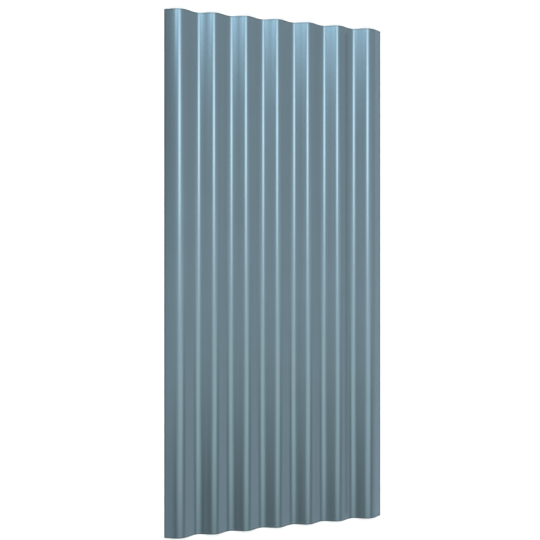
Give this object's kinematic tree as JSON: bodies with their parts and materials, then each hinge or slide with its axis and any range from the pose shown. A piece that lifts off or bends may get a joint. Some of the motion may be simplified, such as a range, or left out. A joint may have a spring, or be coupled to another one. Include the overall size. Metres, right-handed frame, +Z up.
{
  "type": "corrugated metal sheet",
  "caption": "Thin painted steel sheet with rounded waves along its length and taller outer waves that lap over the next sheet, for covering roofs, walls and fences.",
  "frame": {"origin": "below the middle of the sheet, on the plane that its valleys rest on", "axes": "+X across the waves, +Y along the waves, +Z up through the sheet, out of its crests"},
  "size_m": [0.3606, 0.8, 0.011],
  "materials": {
    "grey_paint": "satin"
  },
  "bodies": {
    "root": {"corrugated_sheet": "grey_paint"}
  },
  "joints": []
}
